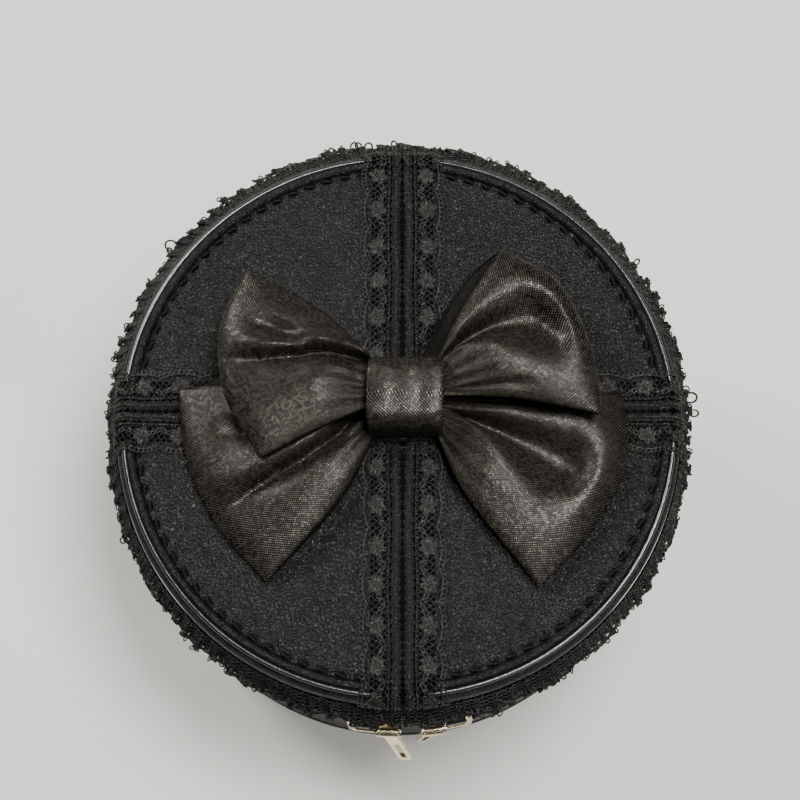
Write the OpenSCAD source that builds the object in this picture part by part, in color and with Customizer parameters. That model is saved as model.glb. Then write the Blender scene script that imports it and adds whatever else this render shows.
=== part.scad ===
// Round lidded gift box for jewellery: a drum of board covered in leatherette, with a padded lid
// hinged at the back, a two-way zip round the rim, a lace cross, a lace frill and a double bow.
// Millimetres, +Z up, the origin at the centre of the underside. The front faces -Y.

/* [Drum] */
// Radius over the base's leatherette wall
wall_r = 83.6; // [80:0.2:84]
// Radius over the rounded roll of the lid
lid_r = 84; // [83:0.2:86]
// Height of the flat top panel above the table
lid_top = 110; // [100:1:125]
// Height of the lower edge of the lid's side
lid_low = 85; // [83:0.5:88]
// Height of the upper edge of the base's wall
wall_top = 77; // [74:0.5:77.4]

/* [Coverings] */
// Thickness of the wall board
board_t = 2.5; // [1.5:0.1:3]
// Thickness of the lining
lining_t = 0.8; // [0.5:0.1:1]
// Thickness of the leatherette on the lid's top panel
cover_t = 1; // [0.6:0.1:1.2]
// Radius of the cord inside the lid's piping
piping_r = 1.5; // [1:0.1:1.6]
// Radius of the circle of top stitching
stitch_r = 77.6; // [74:0.1:77.8]
// Number of top stitches in the circle
stitch_count = 88; // [60:1:110]

/* [Lace and bow] */
// Width of one lace strip
lace_w = 12.4; // [8:0.2:14]
// Sideways place of the lace cross
cross_x = 1.2; // [-3:0.1:3]
// Place of the lace cross along Y
cross_y = 1.3; // [-3:0.1:3]
// Radius of the frill's lower edge
frill_r = 88.4; // [87:0.1:90]
// Width of the bow's knot along X
knot_w = 21.6; // [16:0.2:24]
// Depth of the knot along Y
knot_d = 20.7; // [16:0.2:24]

/* [Front fittings] */
// Turn of the front fittings round the drum, in degrees
front_turn = 2.5; // [-5:0.5:5]
// Angle from the middle of the fittings to each slider
slider_angle = 4.3; // [4:0.1:12]
// Angle from the middle of the fittings to each ring
ring_angle = 8.9; // [8.8:0.1:14]
// Outside width of a ring
ring_w = 12.6; // [12:0.2:16]
// Outside height of a ring
ring_h = 24; // [16:1:28]
// Length of a pull
pull_len = 29; // [20:1:32]
// Lean of the left pull's blade towards the middle, in degrees
left_lean = 11; // [0:1:12]
// Lean of the right pull's blade towards the middle, in degrees
right_lean = 7; // [0:1:12]
// Outward tilt of the left pull, which hangs across the right one's path, in degrees
left_tilt = 11; // [0:1:30]

/* [Hidden] */
$fn = 96;

// Radial layers of the wall, from the outside in
cover_in = wall_r - 1.8;
board_in = cover_in - board_t;
lining_in = board_in - lining_t;
tape_t = 0.6;

// Heights in the floor, and the cord in the piped lower edge
base_cover_t = 1.2;
base_board_t = 2.5;
floor_z = base_cover_t + base_board_t;
pad_t = 2;
floor_r = wall_r - 2.4;
base_cord_r = 1.3;
base_cord_z = 1.7;
wall_low = 3.2;
edge_round = 0.4;

// The zip's middle height, where the teeth meet and the sliders run
zip_z = 81;
teeth_gap = 0.6;
teeth_h = 1.5;
teeth_in = cover_in - 0.6;
teeth_out = cover_in + 1.2;
tape_sewn = 5;
zip_end = 155;

// The hinge strip at the back
hinge_t = 1;
hinge_half = 20;
hinge_low = 62;
hinge_top = 99;
hinge_fold = 1.2;
skin_gap = 0.1;

// Lid layers
board_top = lid_top - cover_t - 1;
lid_board_low = lid_top - 5.5;
bead_in = 79;
bead_mid = bead_in + piping_r;
bead_z = lid_top + 0.2;
bead_top = bead_z + piping_r;
roll_r = 2;
roll_z = lid_top - 3;
roll_shelf = 1.4;
stitch_w = 0.9;
stitch_len = 3.4;
stitch_h = 0.5;

// The frill's heading and its free edge
frill_top = 104.2;
frill_low = 91.6;
frill_t = 0.7;
heading_h = 2.6;

// Lace strips run over the bead and end above the frill's heading
lace_t = 0.4;
lace_end = 104.4;
lace_lift = 0.12;
side_gap = 0.15;
rise_in = 74.2;
rise_out = 75.8;
cross_low = lid_top + 0.1;
long_low = cross_low + lace_t + lace_lift;

// The bow stands on the lace: an under-band, two tiers of loops and the knot
knot_x = 2;
knot_y = 3.1;
band_low = lid_top + 1.2;
band_t = 1.3;
band_w = 20;
band_d = 21.2;
knot_low = band_low + 1.4;
knot_top = lid_top + 20;
knot_round = 5;
tip_r = 3;
root_r = 4;

// Sliders, pulls and rings, as distances from the drum's axis
fit_gap = 0.06;
plate_in = wall_r - skin_gap;
plate_t = 1;
plate_w = 9;
plate_h = 6.8;
plate_round = 1.5;
inner_plate_in = teeth_in - 1.4;
inner_plate_t = 0.9;
web_w = 3;
pin_x = 89.4;
pin_r = 0.8;
ear_y = 2.9;
ear_t = 0.8;
ear_h = 3;
barrel_r = 1.7;
barrel_gap = 0.3;
pull_t = 1.5;
pull_w = 4;
slot_w = 1.6;
slot_len = 15;
slot_drop = 4;
ring_x = 86;
ring_z = 66;
wire_r = 1;
ring_bend = 2;
tab_w = 7;
tab_t = 1.5;
tab_h = 9;
fold_t = 0.7;

// Local +X points out of the drum and local +Y runs to the right, seen from the front
module at_front(angle) rotate([0, 0, front_turn + angle - 90]) children();

module tube_wall(r_in, r_out, z_low, z_high) {
    translate([0, 0, z_low]) difference() {
        cylinder(r = r_out, h = z_high - z_low);
        translate([0, 0, -1]) cylinder(r = r_in, h = z_high - z_low + 2);
    }
}

module disc(r, z_low, z_high) translate([0, 0, z_low]) cylinder(r = r, h = z_high - z_low);

// An arc of a ring, open at the back over the hinge
module zip_arc(r_in, r_out, z_low, z_high) {
    rotate([0, 0, -90 - zip_end]) rotate_extrude(angle = 2 * zip_end)
        translate([r_in, z_low]) square([r_out - r_in, z_high - z_low]);
}

// A curved strip centred on the back of the drum
module back_strip(r_in, r_out, half_angle, z_low, z_high) {
    rotate([0, 0, 90 - half_angle]) rotate_extrude(angle = 2 * half_angle)
        translate([r_in, z_low]) square([r_out - r_in, z_high - z_low]);
}

module rounded_rect(w, h, r) {
    square([w - 2 * r, h], center = true);
    square([w, h - 2 * r], center = true);
    for (sx = [-1, 1], sy = [-1, 1])
        translate([sx * (w / 2 - r), sy * (h / 2 - r)]) circle(r = r, $fn = 32);
}

// ---- Base ----

module base_cover() color([0.035, 0.034, 0.034]) disc(floor_r + 0.2, 0, base_cover_t);

module base_board() color([0.45, 0.40, 0.33]) disc(floor_r, base_cover_t, floor_z);

module base_piping() color([0.05, 0.05, 0.05])
    rotate_extrude() translate([wall_r - 0.8, base_cord_z]) circle(r = base_cord_r, $fn = 32);

module wall_board() color([0.45, 0.40, 0.33]) tube_wall(board_in, cover_in, floor_z, wall_top);

module wall_cover() color([0.035, 0.034, 0.034])
    rotate_extrude() polygon([
        [cover_in, wall_low], [wall_r - edge_round, wall_low], [wall_r, wall_low + edge_round],
        [wall_r, wall_top],
        [cover_in + tape_t, wall_top], [cover_in + tape_t, wall_top - tape_sewn],
        [cover_in, wall_top - tape_sewn]
    ]);

module wall_lining() color([0.09, 0.085, 0.085])
    tube_wall(lining_in, board_in, floor_z, wall_top);

module floor_pad() color([0.11, 0.10, 0.10]) disc(lining_in - 0.2, floor_z, floor_z + pad_t);

module zip_tape_lower() color([0.03, 0.03, 0.03])
    zip_arc(cover_in, cover_in + tape_t, wall_top - tape_sewn, zip_z - teeth_gap - teeth_h);

module zip_teeth_lower() color([0.07, 0.07, 0.07])
    zip_arc(teeth_in, teeth_out, zip_z - teeth_gap - teeth_h, zip_z - teeth_gap);

module hinge_leaf_lower() color([0.035, 0.034, 0.034])
    back_strip(wall_r + skin_gap, wall_r + skin_gap + hinge_t, hinge_half, hinge_low,
        zip_z - hinge_fold);

// A folded strap sewn to the wall, with the ring's top bar in its fold
module ring_tab() {
    fold_r = wire_r + fit_gap + fold_t;
    difference() {
        union() {
            translate([wall_r + skin_gap / 2, -tab_w / 2, ring_z]) cube([tab_t, tab_w, tab_h]);
            translate([ring_x, tab_w / 2, ring_z]) rotate([90, 0, 0])
                cylinder(r = fold_r, h = tab_w);
        }
        translate([ring_x, tab_w / 2 + 1, ring_z]) rotate([90, 0, 0])
            cylinder(r = wire_r + fit_gap, h = tab_w + 2);
    }
}

module ring_tab_left() color([0.035, 0.034, 0.034]) at_front(-ring_angle) ring_tab();

module ring_tab_right() color([0.035, 0.034, 0.034]) at_front(ring_angle) ring_tab();

// ---- Lid ----

module lid_board() color([0.45, 0.40, 0.33]) disc(cover_in - skin_gap, lid_board_low, board_top);

module lid_padding() color([0.7, 0.7, 0.66])
    disc(bead_in - 0.6, board_top, lid_top - cover_t);

module top_cover() color([0.035, 0.034, 0.034])
    disc(bead_in - 0.5, lid_top - cover_t, lid_top);

module lid_piping() color([0.05, 0.05, 0.05])
    rotate_extrude() translate([bead_mid, bead_z]) circle(r = piping_r, $fn = 32);

module top_stitching() color([0.02, 0.02, 0.02])
    for (i = [0 : stitch_count - 1]) rotate([0, 0, i * 360 / stitch_count])
        translate([stitch_r, 0, lid_top + 0.02]) linear_extrude(height = stitch_h)
            rounded_rect(stitch_w, stitch_len, stitch_w / 2 - 0.01);

module lid_wall_board() color([0.45, 0.40, 0.33])
    tube_wall(board_in, cover_in, lid_low, lid_board_low);

// The side turns over in a soft roll and ends against the piping
module lid_side_cover() color([0.035, 0.034, 0.034])
    rotate_extrude() difference() {
        union() {
            translate([cover_in, lid_low]) square([lid_r - cover_in, roll_z - lid_low]);
            translate([lid_r - roll_r, roll_z]) circle(r = roll_r, $fn = 48);
            translate([cover_in, roll_z]) square([lid_r - roll_r - cover_in, roll_shelf]);
        }
        translate([cover_in - 1, lid_low - 1]) square([1 + tape_t, tape_sewn + 1]);
        translate([bead_mid, bead_z]) circle(r = piping_r + skin_gap / 2, $fn = 32);
        translate([cover_in - 2, lid_low]) square([2, lid_top]);
    }

module lid_lining() color([0.09, 0.085, 0.085]) {
    tube_wall(lining_in, board_in, lid_low, lid_board_low);
    disc(lining_in, lid_board_low - lining_t, lid_board_low);
}

module zip_tape_upper() color([0.03, 0.03, 0.03])
    zip_arc(cover_in, cover_in + tape_t, zip_z + teeth_gap + teeth_h, lid_low + tape_sewn);

module zip_teeth_upper() color([0.07, 0.07, 0.07])
    zip_arc(teeth_in, teeth_out, zip_z + teeth_gap, zip_z + teeth_gap + teeth_h);

module hinge_leaf_upper() color([0.035, 0.034, 0.034])
    back_strip(lid_r + skin_gap, lid_r + hinge_t, hinge_half, zip_z + hinge_fold, hinge_top);

// Gathered lace, sewn round the side by its upper edge and standing out below
module lace_frill() color([0.03, 0.03, 0.03])
    rotate_extrude() polygon([
        [lid_r + skin_gap / 2, frill_top - heading_h - 0.6],
        [lid_r + skin_gap / 2, frill_top - 0.6], [lid_r + frill_t + 0.2, frill_top],
        [frill_r, frill_low + 0.6], [frill_r - frill_t, frill_low],
        [lid_r + frill_t, frill_top - heading_h - 1.2]
    ]);

// Half the profile of a lace strip that lies on the top and goes down the side
function strip_line(low, t) = [
    [rise_in - t, low + t], [rise_out - t, bead_top + lace_lift + t],
    [lid_r - roll_r + t / 2, bead_top + lace_lift + t], [lid_r + side_gap + t, lid_top - 1.6],
    [lid_r + side_gap + t, lace_end]
];
function flipped(points) = [for (i = [len(points) - 1 : -1 : 0]) [-points[i][0], points[i][1]]];
function reversed(points) = [for (i = [len(points) - 1 : -1 : 0]) points[i]];

module lace_strip(low) {
    outside = concat(flipped(strip_line(low, lace_t)), strip_line(low, lace_t));
    inside = concat(flipped(strip_line(low, 0)), strip_line(low, 0));
    rotate([90, 0, 90]) linear_extrude(height = lace_w - 0.2, center = true)
        polygon(concat(outside, reversed(inside)));
}

module lace_long_left() color([0.03, 0.03, 0.03])
    translate([cross_x - lace_w / 2, 0, 0]) lace_strip(long_low);

module lace_long_right() color([0.03, 0.03, 0.03])
    translate([cross_x + lace_w / 2, 0, 0]) lace_strip(long_low);

module lace_cross_front() color([0.03, 0.03, 0.03])
    translate([0, cross_y - lace_w / 2, 0]) rotate([0, 0, 90]) lace_strip(cross_low);

module lace_cross_back() color([0.03, 0.03, 0.03])
    translate([0, cross_y + lace_w / 2, 0]) rotate([0, 0, 90]) lace_strip(cross_low);

// ---- Bow ----

module bow_underband() color([0.05, 0.045, 0.04])
    translate([knot_x - 1.8, knot_y - 0.6, band_low]) linear_extrude(height = band_t)
        rounded_rect(band_w, band_d, 1);

// A flattened satin loop, through its root and the points of its fold: each is [x, y, low, high],
// where low and high are heights above the lid's top
module bow_loop(root, fold) color([0.05, 0.045, 0.04])
    hull() {
        translate([root[0], root[1], lid_top + root[2]])
            cylinder(r = root_r, h = root[3] - root[2], $fn = 16);
        for (p = fold) translate([p[0], p[1], lid_top + p[2]])
            cylinder(r = tip_r, h = p[3] - p[2], $fn = 16);
    }

module bow_loop_lower_left() bow_loop([-8, 1, 3, 9.5], [
    [-62.5, 5, 2.5, 8], [-60, -11, 2, 10], [-51, -31, 2, 9.5], [-37.5, -47, 1.5, 7],
    [-18, -22, 2.5, 9.5]
]);

module bow_loop_lower_right() bow_loop([12, 1, 3, 9.5], [
    [65, 3, 2.5, 8], [64.5, -13, 2, 10], [56, -31, 2, 9.5], [40, -48, 1.5, 7],
    [21, -22, 2.5, 9.5]
]);

module bow_loop_upper_left() bow_loop([-8, 6, 10.5, 17], [
    [-43, 38, 10.5, 18], [-49, 26, 10.5, 21], [-50, 12, 10.5, 21], [-38, -12.5, 10.5, 17],
    [-20, -2, 10.5, 19]
]);

module bow_loop_upper_right() bow_loop([12, 6, 10.5, 17], [
    [28.5, 43.5, 10.5, 18], [46, 33, 10.5, 21], [53.5, 15, 10.5, 21], [56, 0.5, 10.5, 17],
    [30, 5, 10.5, 19]
]);

module bow_knot() color([0.05, 0.045, 0.04])
    translate([knot_x, knot_y, (knot_low + knot_top) / 2]) rotate([90, 0, 90])
        linear_extrude(height = knot_w, center = true)
            rounded_rect(knot_d, knot_top - knot_low, knot_round);

// ---- Sliders and pulls ----

module slider_plate(x, t)
    translate([x, 0, zip_z]) rotate([90, 0, 90]) linear_extrude(height = t)
        rounded_rect(plate_w, plate_h, plate_round);

// Two plates either side of the teeth, joined between them, with ears for the pull's pin
module slider() {
    slider_plate(plate_in, plate_t);
    slider_plate(inner_plate_in, inner_plate_t);
    translate([inner_plate_in + inner_plate_t - 0.2, -web_w / 2, zip_z - teeth_gap / 2])
        cube([plate_in - inner_plate_in - inner_plate_t + 0.4, web_w, teeth_gap]);
    for (side = [-1, 1]) translate([0, side * (ear_y + ear_t / 2), 0]) {
        translate([plate_in + plate_t / 2, -ear_t / 2, zip_z - ear_h / 2])
            cube([pin_x - plate_in - plate_t / 2, ear_t, ear_h]);
        translate([pin_x, ear_t / 2, zip_z]) rotate([90, 0, 0])
            cylinder(r = ear_h / 2, h = ear_t);
    }
    translate([pin_x, ear_y + ear_t / 2, zip_z]) rotate([90, 0, 0])
        cylinder(r = pin_r, h = 2 * ear_y + ear_t);
}

// A slotted tab below a barrel on the pin; lean turns its blade sideways, tilt turns it outwards
module pull(lean, tilt) {
    barrel_w = 2 * (ear_y - barrel_gap);
    translate([pin_x, 0, zip_z]) rotate([0, -tilt, 0]) difference() {
        union() {
            translate([0, barrel_w / 2, 0]) rotate([90, 0, 0])
                cylinder(r = barrel_r, h = barrel_w);
            rotate([lean, 0, 0]) translate([-pull_t / 2, 0, -pull_len / 2]) rotate([90, 0, 90])
                linear_extrude(height = pull_t) difference() {
                    rounded_rect(pull_w, pull_len, pull_w / 2 - 0.1);
                    translate([0, -slot_drop]) rounded_rect(slot_w, slot_len, slot_w / 2 - 0.05);
                }
        }
        translate([0, barrel_w, 0]) rotate([90, 0, 0])
            cylinder(r = pin_r + fit_gap, h = 2 * barrel_w);
    }
}

module slider_left() color([0.79, 0.70, 0.46]) at_front(-slider_angle) slider();

module slider_right() color([0.79, 0.70, 0.46]) at_front(slider_angle) slider();

module pull_left() color([0.79, 0.70, 0.46]) at_front(-slider_angle)
    pull(left_lean, left_tilt);

module pull_right() color([0.79, 0.70, 0.46]) at_front(slider_angle)
    pull(-right_lean, 0);

// ---- Rings ----

// A rectangle of round wire with rounded corners, hanging from its top bar
module wire_ring() {
    bend = ring_bend;
    half_w = ring_w / 2 - wire_r;
    drop = ring_h - 2 * wire_r;
    translate([ring_x, 0, ring_z - drop / 2]) rotate([90, 0, 90]) {
        for (side = [-1, 1]) {
            translate([side * half_w, -drop / 2 + bend, 0]) rotate([-90, 0, 0])
                cylinder(r = wire_r, h = drop - 2 * bend, $fn = 32);
            translate([-half_w + bend, side * drop / 2, 0]) rotate([0, 90, 0])
                cylinder(r = wire_r, h = 2 * (half_w - bend), $fn = 32);
            for (turn = [0, 1]) rotate([0, 0, 180 * turn])
                translate([side * (half_w - bend), drop / 2 - bend, 0])
                    rotate([0, 0, side > 0 ? 0 : 90]) rotate_extrude(angle = 90)
                        translate([bend, 0]) circle(r = wire_r, $fn = 32);
        }
    }
}

module ring_left() color([0.79, 0.70, 0.46]) at_front(-ring_angle) wire_ring();

module ring_right() color([0.79, 0.70, 0.46]) at_front(ring_angle) wire_ring();

base_cover();
base_board();
base_piping();
wall_board();
wall_cover();
wall_lining();
floor_pad();
zip_tape_lower();
zip_teeth_lower();
hinge_leaf_lower();
ring_tab_left();
ring_tab_right();
lid_board();
lid_padding();
top_cover();
lid_piping();
top_stitching();
lid_wall_board();
lid_side_cover();
lid_lining();
zip_tape_upper();
zip_teeth_upper();
hinge_leaf_upper();
lace_frill();
lace_long_left();
lace_long_right();
lace_cross_front();
lace_cross_back();
bow_underband();
bow_loop_lower_left();
bow_loop_lower_right();
bow_loop_upper_left();
bow_loop_upper_right();
bow_knot();
slider_left();
slider_right();
pull_left();
pull_right();
ring_left();
ring_right();
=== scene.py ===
"""The looks of a round leatherette gift box with a lace cross, a lace frill and a double satin bow.

Lengths are written in millimetres and turned into metres by MM where a mesh is made. The frame is
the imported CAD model: +Z up, the front at -Y, the origin under the middle of the box.
"""
import math

import bpy
import numpy as np
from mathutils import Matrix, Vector


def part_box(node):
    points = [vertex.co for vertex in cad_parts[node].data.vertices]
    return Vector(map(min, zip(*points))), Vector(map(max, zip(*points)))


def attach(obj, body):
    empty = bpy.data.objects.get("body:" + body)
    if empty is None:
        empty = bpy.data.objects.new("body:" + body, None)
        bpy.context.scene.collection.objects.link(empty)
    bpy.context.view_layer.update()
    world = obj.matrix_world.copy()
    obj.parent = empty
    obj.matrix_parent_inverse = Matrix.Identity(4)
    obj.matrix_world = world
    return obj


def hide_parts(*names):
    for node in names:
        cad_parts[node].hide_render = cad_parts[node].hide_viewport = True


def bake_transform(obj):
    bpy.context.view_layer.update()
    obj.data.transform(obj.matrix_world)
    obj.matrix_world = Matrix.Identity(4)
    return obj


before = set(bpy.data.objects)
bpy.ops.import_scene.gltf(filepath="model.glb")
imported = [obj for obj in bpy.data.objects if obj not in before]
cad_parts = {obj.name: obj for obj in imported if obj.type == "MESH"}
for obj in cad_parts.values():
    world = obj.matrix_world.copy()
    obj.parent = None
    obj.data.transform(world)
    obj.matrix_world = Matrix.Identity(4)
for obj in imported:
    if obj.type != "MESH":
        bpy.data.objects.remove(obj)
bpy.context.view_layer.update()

MM = 0.001
TAU = 2 * math.pi


def node_box(name):
    """A node's lowest and highest corners, in millimetres."""
    low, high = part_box(name)
    return np.array(low) / MM, np.array(high) / MM


# ---- Driving sizes ----

COVER_T, BOARD_T, LINING_T, TAPE_T = 1.8, 2.5, 0.8, 0.6
TAPE_DEPTH = 5
LIP = 0.22
MARGIN = 1.98
STITCHES = 88
CORD_R = 0.75
ZIP_PITCH = 1.55
HINGE_HALF = math.radians(20)
ZIP_END = math.pi - HINGE_HALF + math.radians(0.6)
LONG_LIFT = 0.35
FRILL_W = 13.0
FRILL_NET_W = 0.8 * FRILL_W
FRILL_FULLNESS = 1.75
RUFFLES = 104
RING_W, RING_WIRE = 12.6, 1.0
FRONT = -math.pi / 2
FRONT_TURN = math.radians(2.5)
RING_ANGLE = math.radians(8.9)
FINE, COARSE = 540, 360


# ---- Sizes taken from the frame ----

LID_TOP = node_box("lid_padding")[1][2] + 1.0
LID_LOW = node_box("lid_side_cover")[0][2]
LID_BOARD_LOW = node_box("lid_board")[0][2]
SIDE_R = node_box("lid_side_cover")[1][0]
WALL_R = node_box("wall_cover")[1][0]
WALL_TOP = node_box("wall_cover")[1][2]
WALL_IN = WALL_R - COVER_T
BOARD_IN = WALL_IN - BOARD_T
LINING_IN = BOARD_IN - LINING_T
FLOOR_Z = node_box("base_board")[1][2]
ZIP_Z = (node_box("zip_teeth_lower")[1][2] + node_box("zip_teeth_upper")[0][2]) / 2
BEAD_R = node_box("lid_piping")[1][0] - 2.05
CORD_MID = node_box("lid_piping")[1][0] - 0.3
CORD_Z = LID_TOP + 0.1
STITCH_R = node_box("top_stitching")[1][0] - 0.45
LACE_END = node_box("lace_long_left")[0][2]
STRIP_W = node_box("lace_long_left")[1][0] - node_box("lace_long_left")[0][0] + 0.2
NET_W = 2 * (STRIP_W - 3.1)
CROSS_X = (node_box("lace_long_left")[1][0] + node_box("lace_long_right")[0][0]) / 2
CROSS_Y = (node_box("lace_cross_front")[1][1] + node_box("lace_cross_back")[0][1]) / 2


# ---- Mesh helpers ----


class Builder:
    """Collects points and faces of many small shapes into one mesh."""

    def __init__(self):
        self.points, self.faces, self.count = [], [], 0

    def sweep(self, path, normals, radius, sides=5, closed=False):
        """A round thread along a path; normals keep its ring from turning."""
        path = np.asarray(path, float)
        n = len(path)
        if closed:
            along = np.roll(path, -1, 0) - np.roll(path, 1, 0)
        else:
            along = np.gradient(path, axis=0)
        along = unit(along)
        side = unit(np.cross(along, normals))
        up = np.cross(side, along)
        turn = np.arange(sides) * TAU / sides
        radius = np.broadcast_to(np.asarray(radius, float), (n,))[:, None, None]
        rings = path[:, None] + radius * (
            np.cos(turn)[None, :, None] * side[:, None] + np.sin(turn)[None, :, None] * up[:, None]
        )
        self.points.append(rings.reshape(-1, 3))
        self.faces += (grid_faces(n, sides, closed, True, flip=True) + self.count).tolist()
        if not closed:
            self.faces.append([self.count + k for k in range(sides - 1, -1, -1)])
            self.faces.append([self.count + (n - 1) * sides + k for k in range(sides)])
        self.count += n * sides

    def piece(self, name, node, body, slot, material):
        points = np.concatenate(self.points)
        return make_piece(name, node, points, self.faces, body, material)


def unit(vectors):
    return vectors / (np.linalg.norm(vectors, axis=1, keepdims=True) + 1e-12)


def grid_faces(rows, cols, rows_close=False, cols_close=False, flip=False):
    """The quads of a grid of points; a closing side is joined on to the first row or column."""
    i = np.arange(rows if rows_close else rows - 1)[:, None]
    j = np.arange(cols if cols_close else cols - 1)[None, :]
    i_next, j_next = (i + 1) % rows, (j + 1) % cols
    quads = [i * cols + j, i_next * cols + j, i_next * cols + j_next, i * cols + j_next]
    return turned_over(np.stack(quads, -1).reshape(-1, 4), flip)


def turned_over(quads, flip):
    return quads[:, [0, 3, 2, 1]] if flip else quads


def slab_faces(rows, cols, flip=False):
    """The faces of two equal grids of points, one behind the other and closed round the rim."""
    quads, behind = grid_faces(rows, cols, flip=flip), rows * cols
    numbers = np.arange(behind).reshape(rows, cols)
    rim = np.concatenate(
        [numbers[:, 0], numbers[-1, 1:], numbers[-2::-1, -1], numbers[0, -2:0:-1]]
    )
    after = np.roll(rim, -1)
    edge = turned_over(np.stack([rim, rim + behind, after + behind, after], -1), flip)
    return np.concatenate([quads, quads[:, ::-1] + behind, edge]).tolist()


def polar(r, a, z):
    """Points at radius r, angle a and height z."""
    return np.stack([r * np.cos(a), r * np.sin(a), z], -1)


def outward(turn):
    """The unit vectors away from the middle and along the round, at an angle."""
    c, s = math.cos(turn), math.sin(turn)
    return np.array([c, s, 0]), np.array([-s, c, 0])


def make_piece(name, node, points, faces, body, material, uv=None):
    """A mesh that rides on a body and stands for the frame's node, if one is given."""
    mesh = bpy.data.meshes.new(name)
    mesh.from_pydata((np.asarray(points).reshape(-1, 3) * MM).tolist(), [], faces)
    mesh.update()
    if uv is not None:
        layer = mesh.uv_layers.new(name="cloth")
        corners = np.empty(len(mesh.loops), np.int32)
        mesh.loops.foreach_get("vertex_index", corners)
        flat = np.asarray(uv, np.float32).reshape(-1, 2)
        layer.data.foreach_set("uv", flat[corners].ravel())
    mesh.polygons.foreach_set("use_smooth", [True] * len(mesh.polygons))
    mesh.materials.append(material)
    obj = bpy.data.objects.new(name, mesh)
    bpy.context.scene.collection.objects.link(obj)
    if body:
        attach(obj, body)
    if node:
        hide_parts(node)
    return obj


def arc(cx, cz, r, start, end, steps):
    """Points of an arc in a profile, from start to end degrees."""
    turns = np.radians(np.linspace(start, end, steps))
    return [(cx + r * math.cos(t), cz + r * math.sin(t)) for t in turns]


def lathe(name, node, profile, body, material, ends=None, steps=FINE, shift=None):
    """Turns a closed profile of (radius, z) points round Z; ends gives an arc's two angles.

    shift, if given, takes the angles, radii and heights and returns new radii and heights.
    """
    profile = np.asarray(profile, float)
    k = len(profile)
    closed = ends is None
    angles = np.arange(steps) * TAU / steps if closed else np.linspace(*ends, steps)
    a = np.tile(angles[:, None], (1, k))
    r, z = (np.tile(column, (steps, 1)) for column in profile.T)
    if shift:
        r, z = shift(a, r, z)
    faces = grid_faces(steps, k, closed, True).tolist()
    if not closed:
        faces.append(list(range(k)))
        faces.append([(steps - 1) * k + m for m in range(k - 1, -1, -1)])
    return make_piece(name, node, polar(r, a, z), faces, body, material)


def smooth_line(points, count):
    """A Catmull-Rom curve through a few points, evenly spread in parameter."""
    p = np.asarray(points, float)
    p = np.vstack([2 * p[0] - p[1], p, 2 * p[-1] - p[-2]])
    t = np.linspace(0, len(p) - 3 - 1e-9, count)
    i = t.astype(int)
    f = (t - i)[:, None]
    a, b, c, d = p[i], p[i + 1], p[i + 2], p[i + 3]
    return 0.5 * (
        2 * b + (c - a) * f + (2 * a - 5 * b + 4 * c - d) * f**2 + (3 * b - a - 3 * c + d) * f**3
    )


def smoothstep(x, low, high):
    t = np.clip((x - low) / (high - low), 0, 1)
    return t * t * (3 - 2 * t)


def ripple(x, y, size, seed):
    """Soft uneven waves from a few sines of seeded direction and phase."""
    rng = np.random.RandomState(seed)
    total = 0
    for k in range(6):
        turn, phase = rng.uniform(0, TAU, 2)
        pitch = size * rng.uniform(0.6, 1.6)
        total = total + np.sin(TAU * (x * math.cos(turn) + y * math.sin(turn)) / pitch + phase)
    return total / 6


# ---- Materials ----


class Shader:
    """One procedural material, with short calls to add and link nodes."""

    def __init__(self, name, **settings):
        self.material = bpy.data.materials.new(name)
        self.material.use_nodes = True
        self.tree = self.material.node_tree
        self.base = self.tree.nodes["Principled BSDF"]
        for key, value in settings.items():
            self.base.inputs[key.replace("_", " ")].default_value = value
        self.place = self.node("ShaderNodeTexCoord").outputs["Object"]

    def node(self, kind, inputs=None, **options):
        made = self.tree.nodes.new(kind)
        for key, value in options.items():
            setattr(made, key, value)
        for key, value in (inputs or {}).items():
            if isinstance(value, bpy.types.NodeSocket):
                self.tree.links.new(value, made.inputs[key])
            else:
                made.inputs[key].default_value = value
        return made

    def noise(self, pitch_mm, detail=3, place=None):
        values = {"Vector": place or self.place, "Scale": 1 / (pitch_mm * MM), "Detail": detail}
        return self.node("ShaderNodeTexNoise", values).outputs["Fac"]

    def creases(self, pitch_mm, place=None):
        """The distance from the borders between uneven cells."""
        values = {"Vector": place or self.place, "Scale": 1 / (pitch_mm * MM)}
        made = self.node("ShaderNodeTexVoronoi", values, feature="DISTANCE_TO_EDGE")
        return made.outputs["Distance"]

    def math(self, operation, a, b=0.0):
        return self.node("ShaderNodeMath", {0: a, 1: b}, operation=operation).outputs[0]

    def times(self, a, b):
        return self.math("MULTIPLY", a, b)

    def plus(self, a, b):
        return self.math("ADD", a, b)

    def ramp(self, value, low, high, out_low=0.0, out_high=1.0):
        values = {
            "Value": value, "From Min": low, "From Max": high, "To Min": out_low, "To Max": out_high
        }
        return self.node("ShaderNodeMapRange", values).outputs["Result"]

    def mix(self, factor, a, b):
        return self.node("ShaderNodeMix", {0: factor, 6: a, 7: b}, data_type="RGBA").outputs[2]

    def bump(self, height, depth_mm, strength=1.0, normal=None):
        values = {"Height": height, "Distance": depth_mm * MM, "Strength": strength}
        if normal:
            values["Normal"] = normal
        return self.node("ShaderNodeBump", values).outputs["Normal"]

    def colour(self, socket):
        self.tree.links.new(socket, self.base.inputs["Base Color"])

    def rough(self, socket):
        self.tree.links.new(socket, self.base.inputs["Roughness"])

    def normal(self, socket):
        self.tree.links.new(socket, self.base.inputs["Normal"])


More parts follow.
